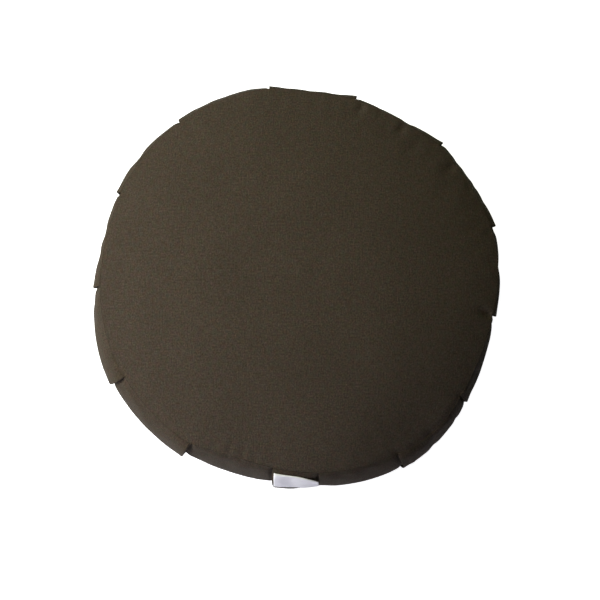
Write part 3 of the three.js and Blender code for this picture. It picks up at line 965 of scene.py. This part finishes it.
FLOOR_SIZE = 60
FLOOR_COLOUR = (0.86, 0.86, 0.86, 1)
FLOOR_GLOW = 0.96
SKY_GLOW = 0.02
SKY_FADE = (0.1, 0.3)  # the heights on a unit dome between which white fades to the sky's glow

LIGHT_DISTANCE = 1.6  # from the middle of the crown
# Each light: name, azimuth, elevation, width, power and colour.
LIGHTS = (
    ("key", 180, 30, 1.1, 32, (1, 1, 1)),
    ("back_light", 120, 50, 1.1, 12, (0.98, 1, 0.68)),
    ("fill", 254, 12, 0.55, 8, (0.72, 0.7, 0.94)),
)


def stand_toward(obj, middle, azimuth, elevation, distance):
    """Stands a light or a camera at a distance from a middle, and turns it to look there. The azimuth is
    from +X and the elevation above the floor."""
    turn, rise = math.radians(azimuth), math.radians(elevation)
    toward = Vector((math.cos(turn) * math.cos(rise), math.sin(turn) * math.cos(rise), math.sin(rise)))
    obj.location = Vector(middle) + toward * distance
    obj.rotation_euler = toward.to_track_quat("Z", "Y").to_euler()


def area_light(name, azimuth, elevation, width, power, colour):
    light = bpy.data.lights.new(name, "AREA")
    light.shape = "DISK"
    light.size = width
    light.energy = power
    light.color = colour
    stand_toward(add_object(name, light), (0, 0, CROWN_Z), azimuth, elevation, LIGHT_DISTANCE)


def make_camera():
    data = bpy.data.cameras.new("camera")
    data.angle = 2 * math.atan(VIEW_SPAN / 2 / VIEW_DISTANCE)
    camera = add_object("camera", data)
    stand_toward(camera, LOOK_AT, VIEW_AZIMUTH, VIEW_ELEVATION, VIEW_DISTANCE)
    bpy.context.scene.camera = camera


def make_floor():
    """A white floor that glows, so that the background is white. Its glow lights nothing but itself."""
    shader = Shader("floor_white", Roughness=0.9, Specular_IOR_Level=0.1)
    shader.put(shader.principled.inputs["Base Color"], FLOOR_COLOUR)
    shader.put(shader.principled.inputs["Emission Color"], (1, 1, 1, 1))
    shader.put(shader.principled.inputs["Emission Strength"], FLOOR_GLOW)
    mesh = bpy.data.meshes.new("floor")
    half = FLOOR_SIZE / 2
    corners = [(-half, -half, 0), (half, -half, 0), (half, half, 0), (-half, half, 0)]
    mesh.from_pydata(corners, [], [(0, 1, 2, 3)])
    mesh.materials.append(shader.material)
    floor = add_object("floor", mesh)
    lit_by_floor = bpy.data.collections.new("lit_by_floor")
    lit_by_floor.objects.link(floor)
    floor.light_linking.receiver_collection = lit_by_floor


def make_world():
    """A dim dome that turns white at the horizon, so that low views end in white too."""
    world = bpy.data.worlds.new("studio")
    bpy.context.scene.world = world
    world.use_nodes = True
    tree = world.node_tree
    coordinates = tree.nodes.new("ShaderNodeTexCoord")
    axes = tree.nodes.new("ShaderNodeSeparateXYZ")
    tree.links.new(coordinates.outputs["Generated"], axes.inputs[0])
    ramp = tree.nodes.new("ShaderNodeMapRange")
    ramp.interpolation_type = "SMOOTHSTEP"
    limits = {"From Min": SKY_FADE[0], "From Max": SKY_FADE[1], "To Min": 1.0, "To Max": SKY_GLOW}
    for socket, value in limits.items():
        ramp.inputs[socket].default_value = value
    tree.links.new(axes.outputs[2], ramp.inputs["Value"])
    tree.links.new(ramp.outputs[0], tree.nodes["Background"].inputs["Strength"])


# --- the scene ------------------------------------------------------------------------------------

make_camera()
make_world()
make_floor()
for light in LIGHTS:
    area_light(*light)
bpy.context.scene.view_settings.view_transform = "Standard"

panel_cotton = cotton("panel_cotton", PANEL_COLOUR, seed=3)
# the band's cotton has the panels' colour darkened by painted shade
band_cotton = cotton("band_cotton", BAND_SHADED_COLOUR, seed=11)
label_tape = tape("label_tape")

fields = Fields()
fields.wall_moves = smoothed(capped(settle_wall(fields), MOVE_CAP))
fields.top_moves = smoothed(capped(settle_top(fields), MOVE_CAP))

band = make_band(fields, band_cotton)
top = make_panel(fields, "top", panel_cotton)
base = make_panel(fields, "base", panel_cotton)
label = make_label(fields, label_tape)
for piece, node, slot in (
    (band, "side_band", "band_cotton"),
    (top, "top_panel", "panel_cotton"),
    (base, "base_panel", "panel_cotton"),
    (label, "label", "label_tape"),
):
    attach(piece, ROOT)
    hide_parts(node)
